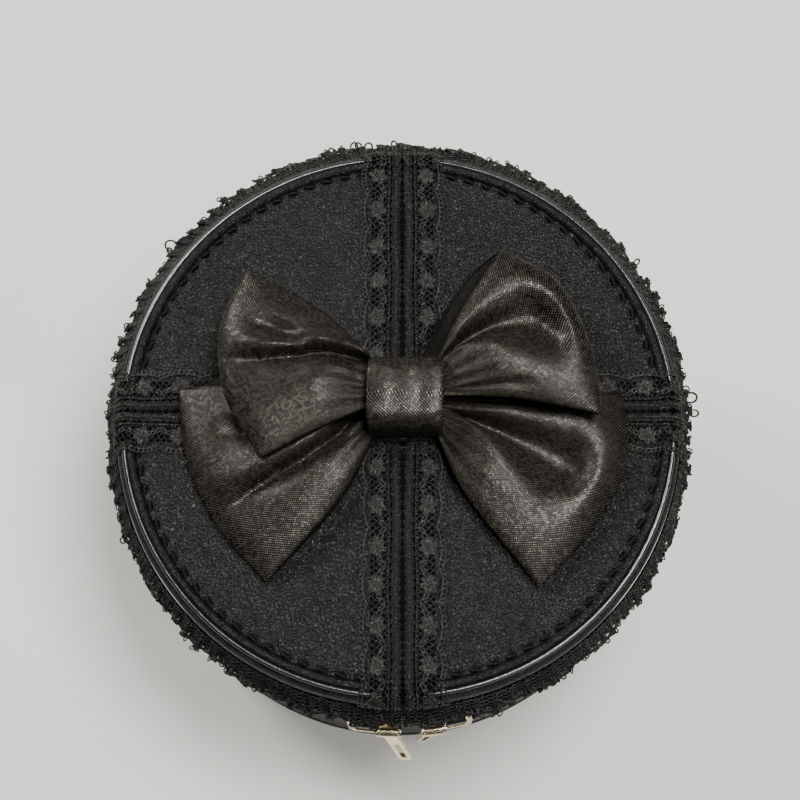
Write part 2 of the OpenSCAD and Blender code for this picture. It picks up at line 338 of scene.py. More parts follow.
def leatherette(name, grain_mm=0.9, depth=0.2, rough=(0.27, 0.42)):
    """Pressed pebble grain: uneven, slightly drawn-out cells with soft creases, and fine pores; the
    colour holds painted shade in the creases.
    """
    s = Shader(name, Specular_IOR_Level=0.17)
    drift = s.node(
        "ShaderNodeTexNoise", {"Vector": s.place, "Scale": 1 / (2.6 * MM), "Detail": 2.0}
    ).outputs["Color"]
    moved = s.node(
        "ShaderNodeVectorMath", {0: drift, 1: (1.1 * MM,) * 3}, operation="MULTIPLY"
    ).outputs[0]
    place = s.node("ShaderNodeVectorMath", {0: s.place, 1: moved}, operation="ADD").outputs[0]
    drawn = s.node(
        "ShaderNodeMapping",
        {"Vector": place, "Rotation": (0, 0, math.radians(48)), "Scale": (1.5, 0.85, 1)},
        vector_type="TEXTURE",
    ).outputs[0]
    crease = s.ramp(s.creases(grain_mm, drawn), 0.0, 0.42)
    dome = s.math("POWER", crease, 0.6)
    small = s.ramp(s.creases(grain_mm * 0.5, drawn), 0.0, 0.3)
    first = s.bump(s.plus(dome, s.times(small, 0.3)), depth)
    s.normal(s.bump(s.noise(0.22), 0.02, 0.5, first))
    # The colour is lighter on the cell tops and darker in the grain's creases: painted shade in the
    # creases, over a patchy tone that is the skin's own.
    patch = s.noise(16, 4)
    light = s.times(s.ramp(patch, 0.3, 0.7), crease)
    s.colour(s.mix(light, (0.0022, 0.0023, 0.0023, 1), (0.010, 0.010, 0.0095, 1)))
    s.rough(s.ramp(s.math("SUBTRACT", patch, s.times(crease, 0.25)), 0.1, 0.75, *rough[::-1]))
    return s.material


def smooth_leatherette(name):
    """The same skin pulled tight over a cord, so the grain is nearly flat and shinier."""
    s = Shader(name, Specular_IOR_Level=0.6)
    crease = s.ramp(s.creases(0.9), 0.0, 0.3)
    s.normal(s.bump(s.plus(crease, s.noise(3.0)), 0.03, 0.6))
    s.colour(s.mix(s.noise(9, 4), (0.004, 0.004, 0.0042, 1), (0.014, 0.0138, 0.013, 1)))
    s.rough(s.ramp(s.noise(5, 4), 0.3, 0.7, 0.16, 0.3))
    return s.material


def satin(name, pitch=0.62, shine=1.0, gloss=0.12):
    """Warm black satin: crossed rows of metallic floats, some brighter, laid out on the UV."""
    s = Shader(name, Specular_IOR_Level=gloss)
    cloth = s.node("ShaderNodeUVMap", uv_map="cloth").outputs["UV"]
    turned = s.node(
        "ShaderNodeMapping", {"Vector": cloth, "Rotation": (0, 0, math.radians(40))}
    ).outputs[0]
    parts = s.node("ShaderNodeSeparateXYZ", {"Vector": turned})
    rows = [s.math("SINE", s.times(parts.outputs[k], TAU / pitch)) for k in (0, 1)]
    lift = s.ramp(s.plus(rows[0], s.times(rows[1], 0.7)), -0.5, 1.7)
    pick = s.node(
        "ShaderNodeTexVoronoi", {"Vector": turned, "Scale": 1 / pitch}, feature="F1"
    ).outputs["Color"]
    pick = s.node("ShaderNodeSeparateColor", {"Color": pick}).outputs[0]
    slub = s.node("ShaderNodeTexNoise", {"Vector": cloth, "Scale": 0.5, "Detail": 3.0}).outputs["Fac"]
    height = s.plus(s.times(lift, 0.6), s.times(pick, 0.7))
    s.normal(s.bump(height, 0.075, 0.9))
    picked = s.ramp(s.times(pick, slub), 0.08, 0.5, 0.12 * shine, shine)
    bright = s.times(s.math("POWER", lift, 1.5), picked)
    s.colour(s.mix(bright, (0.001, 0.0009, 0.0007, 1), (0.155, 0.135, 0.105, 1)))
    s.tree.links.new(s.times(bright, 0.9), s.base.inputs["Metallic"])
    s.rough(s.ramp(pick, 0.0, 1.0, 0.34, 0.22))
    return s.material


def lace(name, dark, painted_glint, shine=0.32, gloss=0.28):
    """Black thread with a fine twist and small specks of shine, which are glossier and also painted
    lighter: a painted glint.
    """
    s = Shader(name, Specular_IOR_Level=gloss)
    s.normal(s.bump(s.noise(0.14, 2), 0.04, 1.0))
    glint_spots = s.ramp(s.noise(0.5, 2), 0.52, 0.68)
    # painted glint: the specks get a lighter colour as well as a lower roughness
    s.colour(s.mix(glint_spots, dark, painted_glint))
    s.rough(s.ramp(glint_spots, 0.0, 1.0, 0.5, shine))
    return s.material


def plain_cloth(name, dark, light, pitch_mm, rough=0.8):
    """A plain weave of two crossed threads."""
    s = Shader(name, Sheen_Weight=0.2, Roughness=rough)
    parts = s.node("ShaderNodeSeparateXYZ", {"Vector": s.place})
    turns = TAU / (pitch_mm * MM)
    x, y, z = parts.outputs
    warp = s.math("SINE", s.times(s.plus(x, z), turns))
    weft = s.math("SINE", s.times(s.math("SUBTRACT", y, z), turns))
    weave = s.ramp(s.times(warp, weft), -1, 1)
    s.normal(s.bump(s.plus(weave, s.noise(0.4)), 0.08, 0.7))
    s.colour(s.mix(s.times(weave, s.noise(6)), dark, light))
    return s.material


def raw_board(name):
    s = Shader(name, Specular_IOR_Level=0.2)
    s.normal(s.bump(s.noise(0.3, 4), 0.06, 0.8))
    s.colour(s.mix(s.ramp(s.noise(1.2, 5), 0.35, 0.65), (0.22, 0.19, 0.15, 1), (0.42, 0.37, 0.30, 1)))
    s.rough(s.ramp(s.noise(2.0), 0.2, 0.8, 0.85, 0.95))
    return s.material


def gilt(name):
    """Polished pale gilt with faint scratches and slightly duller patches."""
    s = Shader(name, Metallic=1.0)
    stretched = s.node("ShaderNodeMapping", {"Vector": s.place, "Scale": (1, 1, 0.12)}).outputs[0]
    scratch = s.ramp(s.noise(0.16, 3, stretched), 0.5, 0.62)
    s.normal(s.bump(s.plus(scratch, s.noise(1.6)), 0.012, 0.5))
    s.colour(s.mix(s.noise(2.5, 4), (0.66, 0.55, 0.31, 1), (0.92, 0.84, 0.60, 1)))
    s.rough(s.ramp(s.plus(scratch, s.noise(4)), 0.3, 1.3, 0.14, 0.34))
    return s.material


def coil_plastic(name):
    s = Shader(name, Specular_IOR_Level=0.6)
    s.normal(s.bump(s.noise(0.2), 0.02, 0.6))
    s.colour(s.mix(s.noise(3), grey(0.006), grey(0.022)))
    s.rough(s.ramp(s.noise(1.5), 0.3, 0.7, 0.22, 0.4))
    return s.material


def grey(level):
    return (level, level, level, 1)


LEATHER = leatherette("leatherette_panel")
LEATHER_SIDE = leatherette("leatherette_side", rough=(0.34, 0.48))
CORD = smooth_leatherette("leatherette_cord")
SATIN = satin("satin_warm_black")
SATIN_BACK = satin("satin_matt_back", shine=0.05, gloss=0.02)
LACE = lace("lace_thread", (0.003, 0.0029, 0.0026, 1), (0.06, 0.057, 0.05, 1))
# A lace ground made near black and without gloss, as painted shade in the gaps of the lace.
SHADE_NET = lace("lace_net_shade", grey(0.0006), grey(0.0016), 0.8, 0.02)
LINING = plain_cloth("lining_cloth", (0.012, 0.011, 0.011, 1), (0.05, 0.046, 0.045, 1), 0.5)
PAD = plain_cloth("pad_velvet", (0.016, 0.014, 0.014, 1), (0.07, 0.062, 0.06, 1), 0.4, 0.9)
TAPE = plain_cloth("zip_tape_weave", grey(0.006), grey(0.03), 0.6)
WADDING = plain_cloth("wadding", (0.4, 0.4, 0.38, 1), (0.75, 0.75, 0.72, 1), 0.9, 0.95)
BOARD = raw_board("grey_board")
GILT = gilt("pale_gilt")
COIL = coil_plastic("coil_plastic")
THREAD = lace("sewing_thread", grey(0.001), grey(0.004), 0.6, 0.15)
PALE = (0.93, 0.91, 0.87, 1)


# ---- The lid's top ----


def rim_height(r, stitched=0.5):
    """How far the panel stands above its flat level: a crown, a stitched groove, then a soft bead.

    stitched is 1 at the middle of a stitch, which pulls the groove down, and 0 between two.
    """
    crown = 0.35 * np.clip(1 - (r / 76) ** 2, 0, None)
    groove = -(0.15 + 0.65 * stitched) * np.exp(-(((r - STITCH_R) / 0.8) ** 2))
    bead = 1.45 * np.sqrt(np.clip(1 - ((r - BEAD_R) / 1.62) ** 2, 0, None))
    turn_down = -0.9 * smoothstep(r, BEAD_R + 0.6, BEAD_R + 1.3)
    return crown + groove + bead + turn_down


def top_panel():
    """Leatherette panel, dished at each stitch, with its margin turned down to the cord."""
    radii = np.concatenate([np.linspace(1.5, 74, 30), np.linspace(74.6, BEAD_R + 1.3, 36)])
    steps = 12 * STITCHES
    angles = np.arange(steps) * TAU / steps
    a, r = np.meshgrid(angles, radii, indexing="ij")
    stitched = smoothstep(np.cos(STITCHES * a), -0.5, 0.7)
    pucker = -0.16 * np.cos(STITCHES * a) * np.exp(-(((r - STITCH_R) / 2.0) ** 2))
    pucker -= 0.10 * np.cos(STITCHES * a + 0.8) * np.exp(-(((r - BEAD_R) / 1.0) ** 2))
    wave = 0.10 * ripple(r * np.cos(a), r * np.sin(a), 38, 3)
    z = LID_TOP + rim_height(r, stitched) + pucker + wave
    top = polar(r, a, z).reshape(-1, 3)
    k = len(radii)
    centre = steps * k
    faces = grid_faces(steps, k, rows_close=True, flip=True).tolist()
    faces += [[centre, m * k, ((m + 1) % steps) * k] for m in range(steps)]
    under = centre + 1
    low = polar(radii[-1], angles, np.full(steps, LID_TOP - MARGIN))
    for m in range(steps):
        e = (m + 1) % steps
        faces.append([m * k + k - 1, under + m, under + e, e * k + k - 1])
    faces.append([under + m for m in range(steps - 1, -1, -1)])
    middle = [[0, 0, LID_TOP + rim_height(0.0) + 0.10 * float(ripple(0.0, 0.0, 38, 3))]]
    points = np.vstack([top, middle, low])
    make_piece("lid_panel", "top_cover", points, faces, "lid", LEATHER)


def stitching():
    """Two-ply stitches that dive into the groove at both ends."""
    b = Builder()
    pitch = TAU / STITCHES
    half = 0.31 * pitch
    for n in range(STITCHES):
        t = np.linspace(-1, 1, 13)
        a = n * pitch + t * half
        r = STITCH_R + 0.32 * t
        z = LID_TOP - 0.75 + 0.62 * (1 - t**4)
        path = polar(r, a, z)
        out = polar(1, a, 0 * a)
        up = np.array([0, 0, 1.0])
        for ply in (0, math.pi):
            twist = t * 5 + ply
            line = path + 0.24 * (np.cos(twist)[:, None] * out + np.sin(twist)[:, None] * up)
            b.sweep(line, np.tile(up, (len(t), 1)), 0.4 * (1 - 0.35 * t**6), 6)
    b.piece("stitch_circle", "top_stitching", "lid", "thread", THREAD)


def hand_sewn(amount, waves, seed):
    """A shift for lathe() that makes a turned cover slightly uneven."""

    def shift(a, r, z):
        rough = ripple(a * SIDE_R, z, waves, seed)
        return r + amount * rough * (r > np.median(r)), z

    return shift


def lid_cord():
    lathe(
        "lid_cord", "lid_piping", arc(CORD_MID, CORD_Z, CORD_R, 0, 340, 18), "lid",
        CORD, shift=lambda a, r, z: (
            r + 0.10 * ripple(a * SIDE_R, z * 0, 31, 5),
            z + 0.10 * ripple(a * SIDE_R, z * 0, 43, 6),
        ),
    )


def lid_side():
    """The leatherette round the lid, with a soft roll at its top."""
    lathe(
        "lid_side", "lid_side_cover",
        [
            (WALL_IN + TAPE_T, LID_LOW), (SIDE_R - 0.5, LID_LOW), (SIDE_R - 0.12, LID_LOW + 0.2),
            (SIDE_R, LID_LOW + 0.8), (SIDE_R, LID_LOW + 6), (SIDE_R, LID_LOW + 13),
            (SIDE_R - 0.15, LID_TOP - 5.6),
            *arc(SIDE_R - 2, LID_TOP - 3, 2.05, -50, 115, 14),
            (WALL_IN, LID_TOP - 3), (WALL_IN, LID_LOW + TAPE_DEPTH + 0.1),
            (WALL_IN + TAPE_T, LID_LOW + TAPE_DEPTH),
        ],
        "lid", LEATHER_SIDE, shift=hand_sewn(0.06, 16, 11),
    )


def board_tube(name, node, body, low, high):
    """The grey board of the lid's or the base's wall."""
    profile = [(BOARD_IN, low), (WALL_IN, low), (WALL_IN, high), (BOARD_IN, high)]
    lathe(name, node, profile, body, BOARD, steps=COARSE)


def lid_lining():
    """Cloth under the lid, down its wall and folded over the board's raw edge."""
    low, high = LID_BOARD_LOW - LINING_T, LID_BOARD_LOW
    lathe(
        "lid_lining_cloth", "lid_lining",
        [(WALL_IN, LID_LOW - 0.02), (BOARD_IN, LID_LOW - 0.02), (BOARD_IN, high), (0.4, high),
         (0.4, low), (1.2, low), (40, low), (LINING_IN - 3, low), (LINING_IN - 1.2, low - 0.05),
         (LINING_IN - 0.4, low - 0.3), (LINING_IN, low - 1.2), (LINING_IN, LID_LOW + 2),
         (LINING_IN, LID_LOW + 0.1), (LINING_IN + 0.3, LID_LOW - LIP), (WALL_IN, LID_LOW - LIP)],
        "lid", LINING, steps=COARSE,
    )


# ---- Lace ----


def profile_of_lid():
    """The lid's outer skin as (radius, z) from the middle outwards, down to the frill."""
    radii = np.concatenate([np.linspace(0, 74, 20), np.linspace(74.5, BEAD_R + 0.9, 40)])
    pts = [(r, LID_TOP + float(rim_height(r)) + 0.1) for r in radii]
    pts = [p for p in pts if p[0] < STITCH_R - 1.2 or p[0] > STITCH_R + 0.9]
    pts += arc(CORD_MID, CORD_Z, CORD_R + 0.15, 60, 0, 5)
    pts += arc(SIDE_R - 2, LID_TOP - 3, 2.2, 45, 0, 5)
    pts += [(SIDE_R + 0.2, LID_TOP - 4.5), (SIDE_R + 0.15, LID_TOP - 12)]
    return np.array(pts)


LID_LINE = profile_of_lid()
PAST_CROWN = 25  # the points from here on lead down to the frill
LID_LENGTH = np.concatenate([[0], np.cumsum(np.hypot(*np.diff(LID_LINE, axis=0).T))])
STRIP_HALF = float(
    np.interp(0.8 - LACE_END, -LID_LINE[PAST_CROWN:, 1], LID_LENGTH[PAST_CROWN:])
)


def over_lid(across, along, lift, turned):
    """Maps lace coordinates to the lid: across and along in plan, unrolled over the rim."""
    flat = np.hypot(across, along)
    (r, z), (r_past, z_past), (r_before, z_before) = (
        [np.interp(at, LID_LENGTH, column) for column in LID_LINE.T]
        for at in (flat, flat + 0.6, flat - 0.6)
    )
    dr, dz = r_past - r_before, z_past - z_before
    size = np.hypot(dr, dz) + 1e-9
    out_r, out_z = -dz / size, dr / size
    y = np.sign(along) * np.sqrt(np.clip(r**2 - across**2, 0, None))
    unit = np.maximum(np.hypot(across, y), 1e-6)
    x = across + lift * out_r * across / unit
    y = y + lift * out_r * y / unit
    z = z + lift * out_z
    if turned:
        x, y = -y, x
    return np.stack([x, y, z], -1)


def beads(s, pitch, thin, thick):
    """A thread's radius along its length, swelling at every bead."""
    return thin + (thick - thin) * (0.5 + 0.5 * np.cos(TAU * s / pitch)) ** 1.5


def ring(x, y, long, short, lean, steps=10):
    """One small oval of thread, as its along and across coordinates."""
    turn = np.arange(steps) * TAU / steps
    u, v = long * np.cos(turn), short * np.sin(turn)
    return x + u * math.cos(lean) - v * math.sin(lean), y + u * math.sin(lean) + v * math.cos(lean)


def edging(length, width, scallop, depth, step, rows, first):
    """The net, scalloped edge and picots of lace: (along, across, lift, radius, closed) tuples.

    across is 0 at the straight heading and width at the tips of the scallops.
    """
    threads = []
    picot = 0.7
    s = np.arange(0, length + step / 2, step)

    def edge(x):
        return width - 2 * picot - depth * (1 - np.abs(np.sin(math.pi * x / scallop)) ** 0.7)

    for k in range(int((width - first - 0.4) / rows)):
        zig = 2 * np.abs((s / 1.9 + 0.5 * (k % 2)) % 1 - 0.5) * 2 - 1
        t = first + (k + 0.5) * rows + 0.55 * rows * zig
        inside = t < edge(s) - 0.2
        for run in np.split(np.arange(len(s)), np.where(np.diff(inside))[0] + 1):
            if inside[run[0]] and len(run) > 3:
                threads.append((s[run], t[run], 0.22 + 0.12 * zig[run] ** 2, 0.14, False))
    threads.append((s, edge(s), 0.3, 0.24, False))
    for x in np.arange(0.6, length - 0.4, 1.5):
        y = float(edge(x)) + picot
        threads.append((*ring(x, y, picot, picot, 0, 8), 0.3, 0.19, True))
    return threads


def strip_threads(length, width, scallop):
    """Edging with a beaded chain near its heading and a row of flowers."""
    threads = edging(length, width, scallop, 1.4, 0.45, 1.2, 4.0)
    s = np.arange(0, length, 0.22)
    threads.append((s, 1.8 + 0.1 * np.sin(TAU * s / 1.1), 0.55, beads(s, 1.1, 0.2, 0.5), False))
    threads.append((s, 3.9 + 0.15 * np.cos(TAU * s / 1.3), 0.42, beads(s, 1.3, 0.16, 0.4), False))
    s = np.arange(0, length, 0.45)
    for k in range(4):
        slant = (s / 2.2 + k / 4) % 1
        for run in np.split(np.arange(len(s)), np.where(np.diff(slant) < 0)[0] + 1):
            if len(run) > 2:
                threads.append((s[run], 0.1 + 3.5 * slant[run], 0.3, 0.16, False))
    petals, motif = 6, 0.5 * width + 1.1
    for n in range(int(length / scallop) + 1):
        mid = (n + 0.5) * scallop
        for p in range(petals):
            lean = p * TAU / petals + 0.3
            x, y = mid + 1.7 * math.cos(lean), motif + 1.5 * math.sin(lean)
            for grow in (1.0, 0.45):
                petal = ring(x, y, 1.15 * grow, 0.72 * grow, lean)
                threads.append((*petal, 0.55, 0.3, True))
        threads.append((*ring(mid, motif, 0.5, 0.5, 0), 0.75, 0.3, True))
        for side in (-1, 1):
            for reach in (0.9, 2.4):
                x, y = n * scallop + side * reach, 0.42 * width + 0.5 * reach
                leaf = ring(x, y, 1.15, 0.55, side * 0.7)
                threads.append((*leaf, 0.45, 0.24, True))
    return [t for t in threads if t[0].min() > -1e-6 and t[0].max() < length + 0.3]


def lace_net_shade(name, middle, turned, lift):
    """The fine net under a pair of strips, too fine to show its holes and near black: painted shade for
    the gaps in the lace.
    """
    along, across = np.meshgrid(
        np.linspace(-STRIP_HALF, STRIP_HALF, 240), np.linspace(-0.5, 0.5, 11) * NET_W, indexing="ij"
    )
    net = over_lid(middle + across, along, 0.04 + lift, turned)
    piece = make_piece(name, None, net, grid_faces(240, 11).tolist(), "lid", SHADE_NET)


def lace_strip(name, node, middle, side, turned, lift):
    """One strip of the cross. side is -1 or 1: which way its scallops point from the middle."""
    b = Builder()
    length = 2 * STRIP_HALF
    for s, t, h, radius, closed in strip_threads(length, STRIP_W + 0.3, 11.5):
        s = s + 0.2 * np.sin(t * 0.9 + s * 0.11) + 0.35 * np.sin(0.21 * s)
        t = t + 0.1 + 0.2 * np.sin(0.17 * s + middle)
        path = over_lid(middle + side * t, s - STRIP_HALF, h + lift, turned)
        above = over_lid(middle + side * t, s - STRIP_HALF, h + lift + 1, turned)
        b.sweep(path, above - path, radius, 4, closed)
    piece = b.piece(name, node, "lid", "lace", LACE)


def lace_cross():
    """Two strips side by side each way; the long pair lies over the side pair."""
    lace_net_shade("lace_net_shade_side", CROSS_Y, True, 0.0)
    lace_net_shade("lace_net_shade_long", CROSS_X, False, LONG_LIFT)
    lace_strip("lace_strip_side_front", "lace_cross_front", CROSS_Y, -1, True, 0.0)
    lace_strip("lace_strip_side_back", "lace_cross_back", CROSS_Y, 1, True, 0.0)
    lace_strip("lace_strip_long_left", "lace_long_left", CROSS_X, -1, False, LONG_LIFT)
    lace_strip("lace_strip_long_right", "lace_long_right", CROSS_X, 1, False, LONG_LIFT)


def on_frill(s, t, lift, length):
    """Maps lace coordinates to the gathered frill: t is 0 at the sewn heading."""
    a = TAU * s / length
    beat = RUFFLES * a + 1.6 * np.sin(5 * a) + 1.2 * np.sin(13 * a + 1)
    drop = np.clip(t / FRILL_W, 0, 1.2)
    swell = 0.8 + 0.3 * np.sin(3 * a + 0.5) + 0.35 * np.sin(11 * a + 2)
    wave = 0.85 * np.sqrt(drop) * swell * np.sin(beat)
    back, front = np.clip(np.sin(a), 0, 1), np.clip(-np.sin(a), 0, 1)
    out = SIDE_R + 0.3 + (3.6 + 3.2 * back + 0.5 * front**3) * drop + wave + 0.5 * drop * np.sin(29 * a)
    fall = 10.5 - 3.0 * back
    z = LACE_END + 0.6 - fall * drop + 0.5 * drop * np.cos(beat) + 0.4 * drop * np.sin(7 * a)
    a = a + (0.5 + 1.3 * drop) * np.sin(2 * beat) / SIDE_R
    out = np.maximum(out + lift * 0.9, SIDE_R + 0.2)
    return polar(out, a, z + 0.3 * lift)


def loose_ring(b, mid, size, radius, turn, lean):
    """One ring of thread about a point, facing any way."""
    out, side = outward(turn)
    across = math.cos(lean) * side + math.sin(lean) * np.array([0, 0, 1.0])
    t = np.arange(11) * TAU / 11
    path = mid + size * (np.cos(t)[:, None] * out + 0.85 * np.sin(t)[:, None] * across)
    b.sweep(path, np.tile(np.cross(out, across), (11, 1)), radius, 4, True)


def picot_rings(b, length):
    """Small rings crowded on the frill, and a few that have worked loose and stand out."""
    rng = np.random.RandomState(5)
    for s in np.arange(0, length, 2.1):
        t = rng.uniform(0.5, 1.0) * FRILL_W
        mid = on_frill(np.array(s), np.array(t), 0.4, length)
        size = rng.uniform(0.7, 1.15)
        turn = math.atan2(mid[1], mid[0]) + rng.uniform(-0.8, 0.8)
        loose_ring(b, mid, size, 0.24, turn, rng.uniform(-1.4, 1.4))
    for turn, size, lean in (
        (140, 2.1, 0.2), (141.5, 1.0, -0.6), (6, 1.9, 0.5), (4, 1.5, -0.4), (92, 1.2, 0.6),
        (95, 1.5, -0.2), (97, 1.2, 0.3), (100, 1.5, -0.5), (103, 1.2, 0.4), (35, 1.1, 0.9),
    ):
        a = math.radians(turn)
        mid = on_frill(np.array(length * turn / 360), np.array(FRILL_W), 0.0, length)
        mid = mid + 0.8 * size * (outward(a)[0] + np.array([0, 0, 0.25]))
        loose_ring(b, mid, size, 0.32, a, lean)


def frill_net_shade(length):
    """The net of the frill, gathered with it, too fine to show its holes and near black: painted shade
    for the gaps in the lace.
    """
    steps = 14 * RUFFLES
    s, t = np.meshgrid(
        np.arange(steps) / steps * length, np.linspace(0, FRILL_NET_W, 6), indexing="ij"
    )
    grid = on_frill(s, t, -0.1, length)
    grid = np.concatenate([grid, grid[:1]])
    faces = grid_faces(steps + 1, 6).tolist()
    piece = make_piece("lace_net_shade_frill", None, grid, faces, "lid", SHADE_NET)


def lace_frill():
    """The gathered lace round the side, longer than the round by its fullness."""
    b = Builder()
    length = TAU * SIDE_R * FRILL_FULLNESS
    frill_net_shade(length)
    scallop = length / round(length / 7.0)
    threads = edging(length, FRILL_W, scallop, 0.6, 0.95, 1.25, 0.6)
    for s, t, h, radius, closed in threads:
        path = on_frill(s, t, h, length)
        above = on_frill(s, t, h + 1, length)
        b.sweep(path, above - path, radius * 1.35, 4, closed)
    picot_rings(b, length)
    piece = b.piece("lace_frill_gathered", "lace_frill", "lid", "lace", LACE)


# ---- Bow ----


def patch(root, outer, low, high, u, v):
    """A Coons patch: u runs from the knot to the outer fold, v from the low to the high edge."""
    nu, nv = u.shape
    r, o = smooth_line(root, nv)[None], smooth_line(outer, nv)[None]
    us = u[:, 0]

    def along(points):
        line = smooth_line(points, 200)
        length = np.concatenate([[0], np.cumsum(np.linalg.norm(np.diff(line, axis=0), axis=1))])
        return np.stack([np.interp(us, length / length[-1], line[:, k]) for k in (0, 1)], -1)

    lo, hi = along(low)[:, None], along(high)[:, None]
    f, g = u[..., None], (v[..., None] + 1) / 2
    corners = (
        (1 - f) * (1 - g) * r[:, :1] + (1 - f) * g * r[:, -1:]
        + f * (1 - g) * o[:, :1] + f * g * o[:, -1:]
    )
    return (1 - g) * lo + g * hi + (1 - f) * r + f * o - corners


def dent(u, v, start, end, half, reach, depth):
    """A teardrop hollow that opens out from the knot and ends round at reach."""
    mid = start + (end - start) * u
    width = half * (0.10 + 0.90 * smoothstep(u, 0.0, reach * 0.85))
    across = np.exp(-np.abs((v - mid) / width) ** 1.5)
    return -depth * across * smoothstep(u, 0.02, 0.3) * (1 - smoothstep(u, reach - 0.2, reach))


def crease(u, v, places, depth, soft, reach=0.97):
    """A fold that overhangs: sharp on its high side, fading slowly on its low side."""
    mid = np.interp(u, np.linspace(0, 1, len(places)), places)
    below = np.where(v < mid, np.exp(-(mid - v) / soft), np.exp(-(v - mid) / 0.035))
    lift = 0.45 * np.exp(-(((v - mid - 0.16) / 0.16) ** 2))
    fade = smoothstep(u, 0.0, 0.12) * (1 - smoothstep(u, reach - 0.22, reach))
    return depth * fade * (lift - below)


def hollow(u, v, at_u, at_v, half_u, half_v, depth):
    """An oval dip that is steep on its knot side and runs out smoothly beyond."""
    away = ((u - at_u) / half_u) ** 2 + ((v - at_v) / half_v) ** 2
    lean = 0.5 + 0.5 * np.tanh((at_u - u) / half_u * 1.2 + (v - at_v) / half_v * 0.8)
    return -depth * lean * np.exp(-(away**1.2))


def loop_layers(plan, u, v, levels, puff, folds, back_shift, seed):
    """A loop's points as one grid: out along the top layer, and back along the under layer."""
    root_z, edge_z = levels
    centre = root_z + (edge_z - root_z) * u**1.4
    round_edge = np.sqrt(np.clip(1 - u**3.2, 0, 1))
    belly = (0.30 + 0.70 * np.clip(1 - v**2, 0, 1) ** 0.65) * (0.28 + 0.72 * smoothstep(u, 0, 0.45))
    shape = puff * belly
    for fold, *values in folds:
        shape = shape + fold(u, v, *values)
    gathers = np.cos(5.5 * math.pi * v + seed) * np.exp(-u / 0.20) * smoothstep(u, 0.0, 0.06)
    shape = shape + 0.6 * gathers + 0.35 * ripple(plan[..., 0], plan[..., 1], 24, seed)
    settled = 0.8 * np.logaddexp(0, (shape + 1.8) / 0.8) - 1.8
    top_z = centre + settled * round_edge
    under_z = centre - 2.9 * (0.3 + 0.7 * belly) * round_edge - 0.15
    under_plan = plan + np.asarray(back_shift) * (v[..., None] + 1) / 2 * (1 - u[..., None] ** 6)
    under = np.dstack([under_plan, under_z])[::-1][1:]
    return np.concatenate([np.dstack([plan, top_z]), under])


def thicken(piece, thickness):
    """Gives a sheet its cloth's thickness, on its inner side."""
    cloth = piece.modifiers.new("cloth", "SOLIDIFY")
    cloth.thickness = thickness * MM
    cloth.offset = -1


def bow_loop(side, root, outer, low, high, levels, puff, folds, seed, back_shift=(0, 0)):
    """A satin loop: a top layer out to the fold and an under layer back to the knot."""
    nu, nv = 84, 72
    u_line = np.sin(np.linspace(0, math.pi / 2, nu))
    v_line = np.linspace(-1, 1, nv)
    u, v = np.meshgrid(u_line, v_line, indexing="ij")
    plan = patch(root, outer, low, high, u, v)
    grid = loop_layers(plan, u, v, levels, puff, folds, back_shift, seed)
    length = 2 * float(np.linalg.norm(np.mean(outer, 0) - np.mean(root, 0)))
    width = float(np.linalg.norm(np.subtract(outer[-1], outer[0])))
    along = np.concatenate([u_line, 2 - u_line[::-1][1:]]) * length / 2
    uv = np.stack(np.meshgrid(along, v_line * width / 2, indexing="ij"), -1)
    faces = grid_faces(len(grid), nv)
    if np.mean(outer, 0)[0] < 0:
        faces = faces[:, ::-1]
    piece = make_piece(
        f"satin_loop_{side}", f"bow_loop_{side}", grid, faces.tolist(), "lid", SATIN, uv
    )
    piece.data.materials.append(SATIN_BACK)
    for face in piece.data.polygons[(nu - 1) * (nv - 1):]:
        face.material_index = 1
    thicken(piece, 0.35)


def bow_loops():
    up, down = LID_TOP + 12.6, LID_TOP + 5.0
    bow_loop(
        "lower_left",
        root=[(-6, -5), (-6, 6)],
        outer=[(-38, -50), (-53, -33), (-62, -14), (-65.5, 7.5)],
        low=[(-6, -5), (-17, -26), (-38, -50)],
        high=[(-6, 6), (-40, 9.5), (-65.5, 7.5)],
        levels=(down, LID_TOP + 2.9), puff=6.4,
        folds=[(crease, (0.5, -0.08, -0.2, -0.22, -0.3), 6.0, 0.2, 0.97),
               (hollow, 0.74, 0.36, 0.15, 0.17, 4.0)],
        seed=21,
    )
    bow_loop(
        "lower_right",
        root=[(10.5, -6), (10.5, 4.5)],
        outer=[(40.5, -51.5), (56, -35), (67, -15), (66.5, 6.5)],
        low=[(10.5, -6), (20, -26), (40.5, -51.5)],
        high=[(10.5, 4.5), (38, 6), (66.5, 6.5)],
        levels=(down, LID_TOP + 2.9), puff=6.8,
        folds=[(dent, 0.45, 0.0, 0.30, 0.90, 10.0), (dent, 0.80, 0.78, 0.1, 0.75, 1.6)],
        back_shift=(-1.5, 0), seed=22,
    )
    bow_loop(
        "upper_left",
        root=[(-6, 0.5), (-6, 12.5)],
        outer=[(-40, -16), (-51, 4), (-52.5, 24), (-45, 41.5)],
        low=[(-6, 0.5), (-22, -7), (-40, -16)],
        high=[(-6, 12.5), (-21, 27), (-45, 41.5)],
        levels=(up, LID_TOP + 13.8), puff=7.0,
        folds=[(crease, (0.9, 0.5, 0.16, 0.02, -0.02), 5.8, 0.22, 0.98),
               (hollow, 0.70, 0.36, 0.20, 0.17, 5.0),
               (dent, 0.10, 0.10, 0.2, 0.2, 5.0)],
        seed=23,
    )
    bow_loop(
        "upper_right",
        root=[(10.5, 3.0), (10.5, 13.0)],
        outer=[(59, -3), (57, 16), (47.5, 37.5), (30.5, 47.5)],
        low=[(10.5, 3.0), (34, 1.5), (59, -3)],
        high=[(10.5, 13.0), (19, 30), (30.5, 47.5)],
        levels=(up, LID_TOP + 13.8), puff=7.2,
        folds=[(dent, 0.75, -0.1, 0.30, 0.93, 10.5), (dent, -0.75, -0.7, 0.1, 0.65, 1.2)],
        back_shift=(-4.5, 0.5), seed=24,
    )


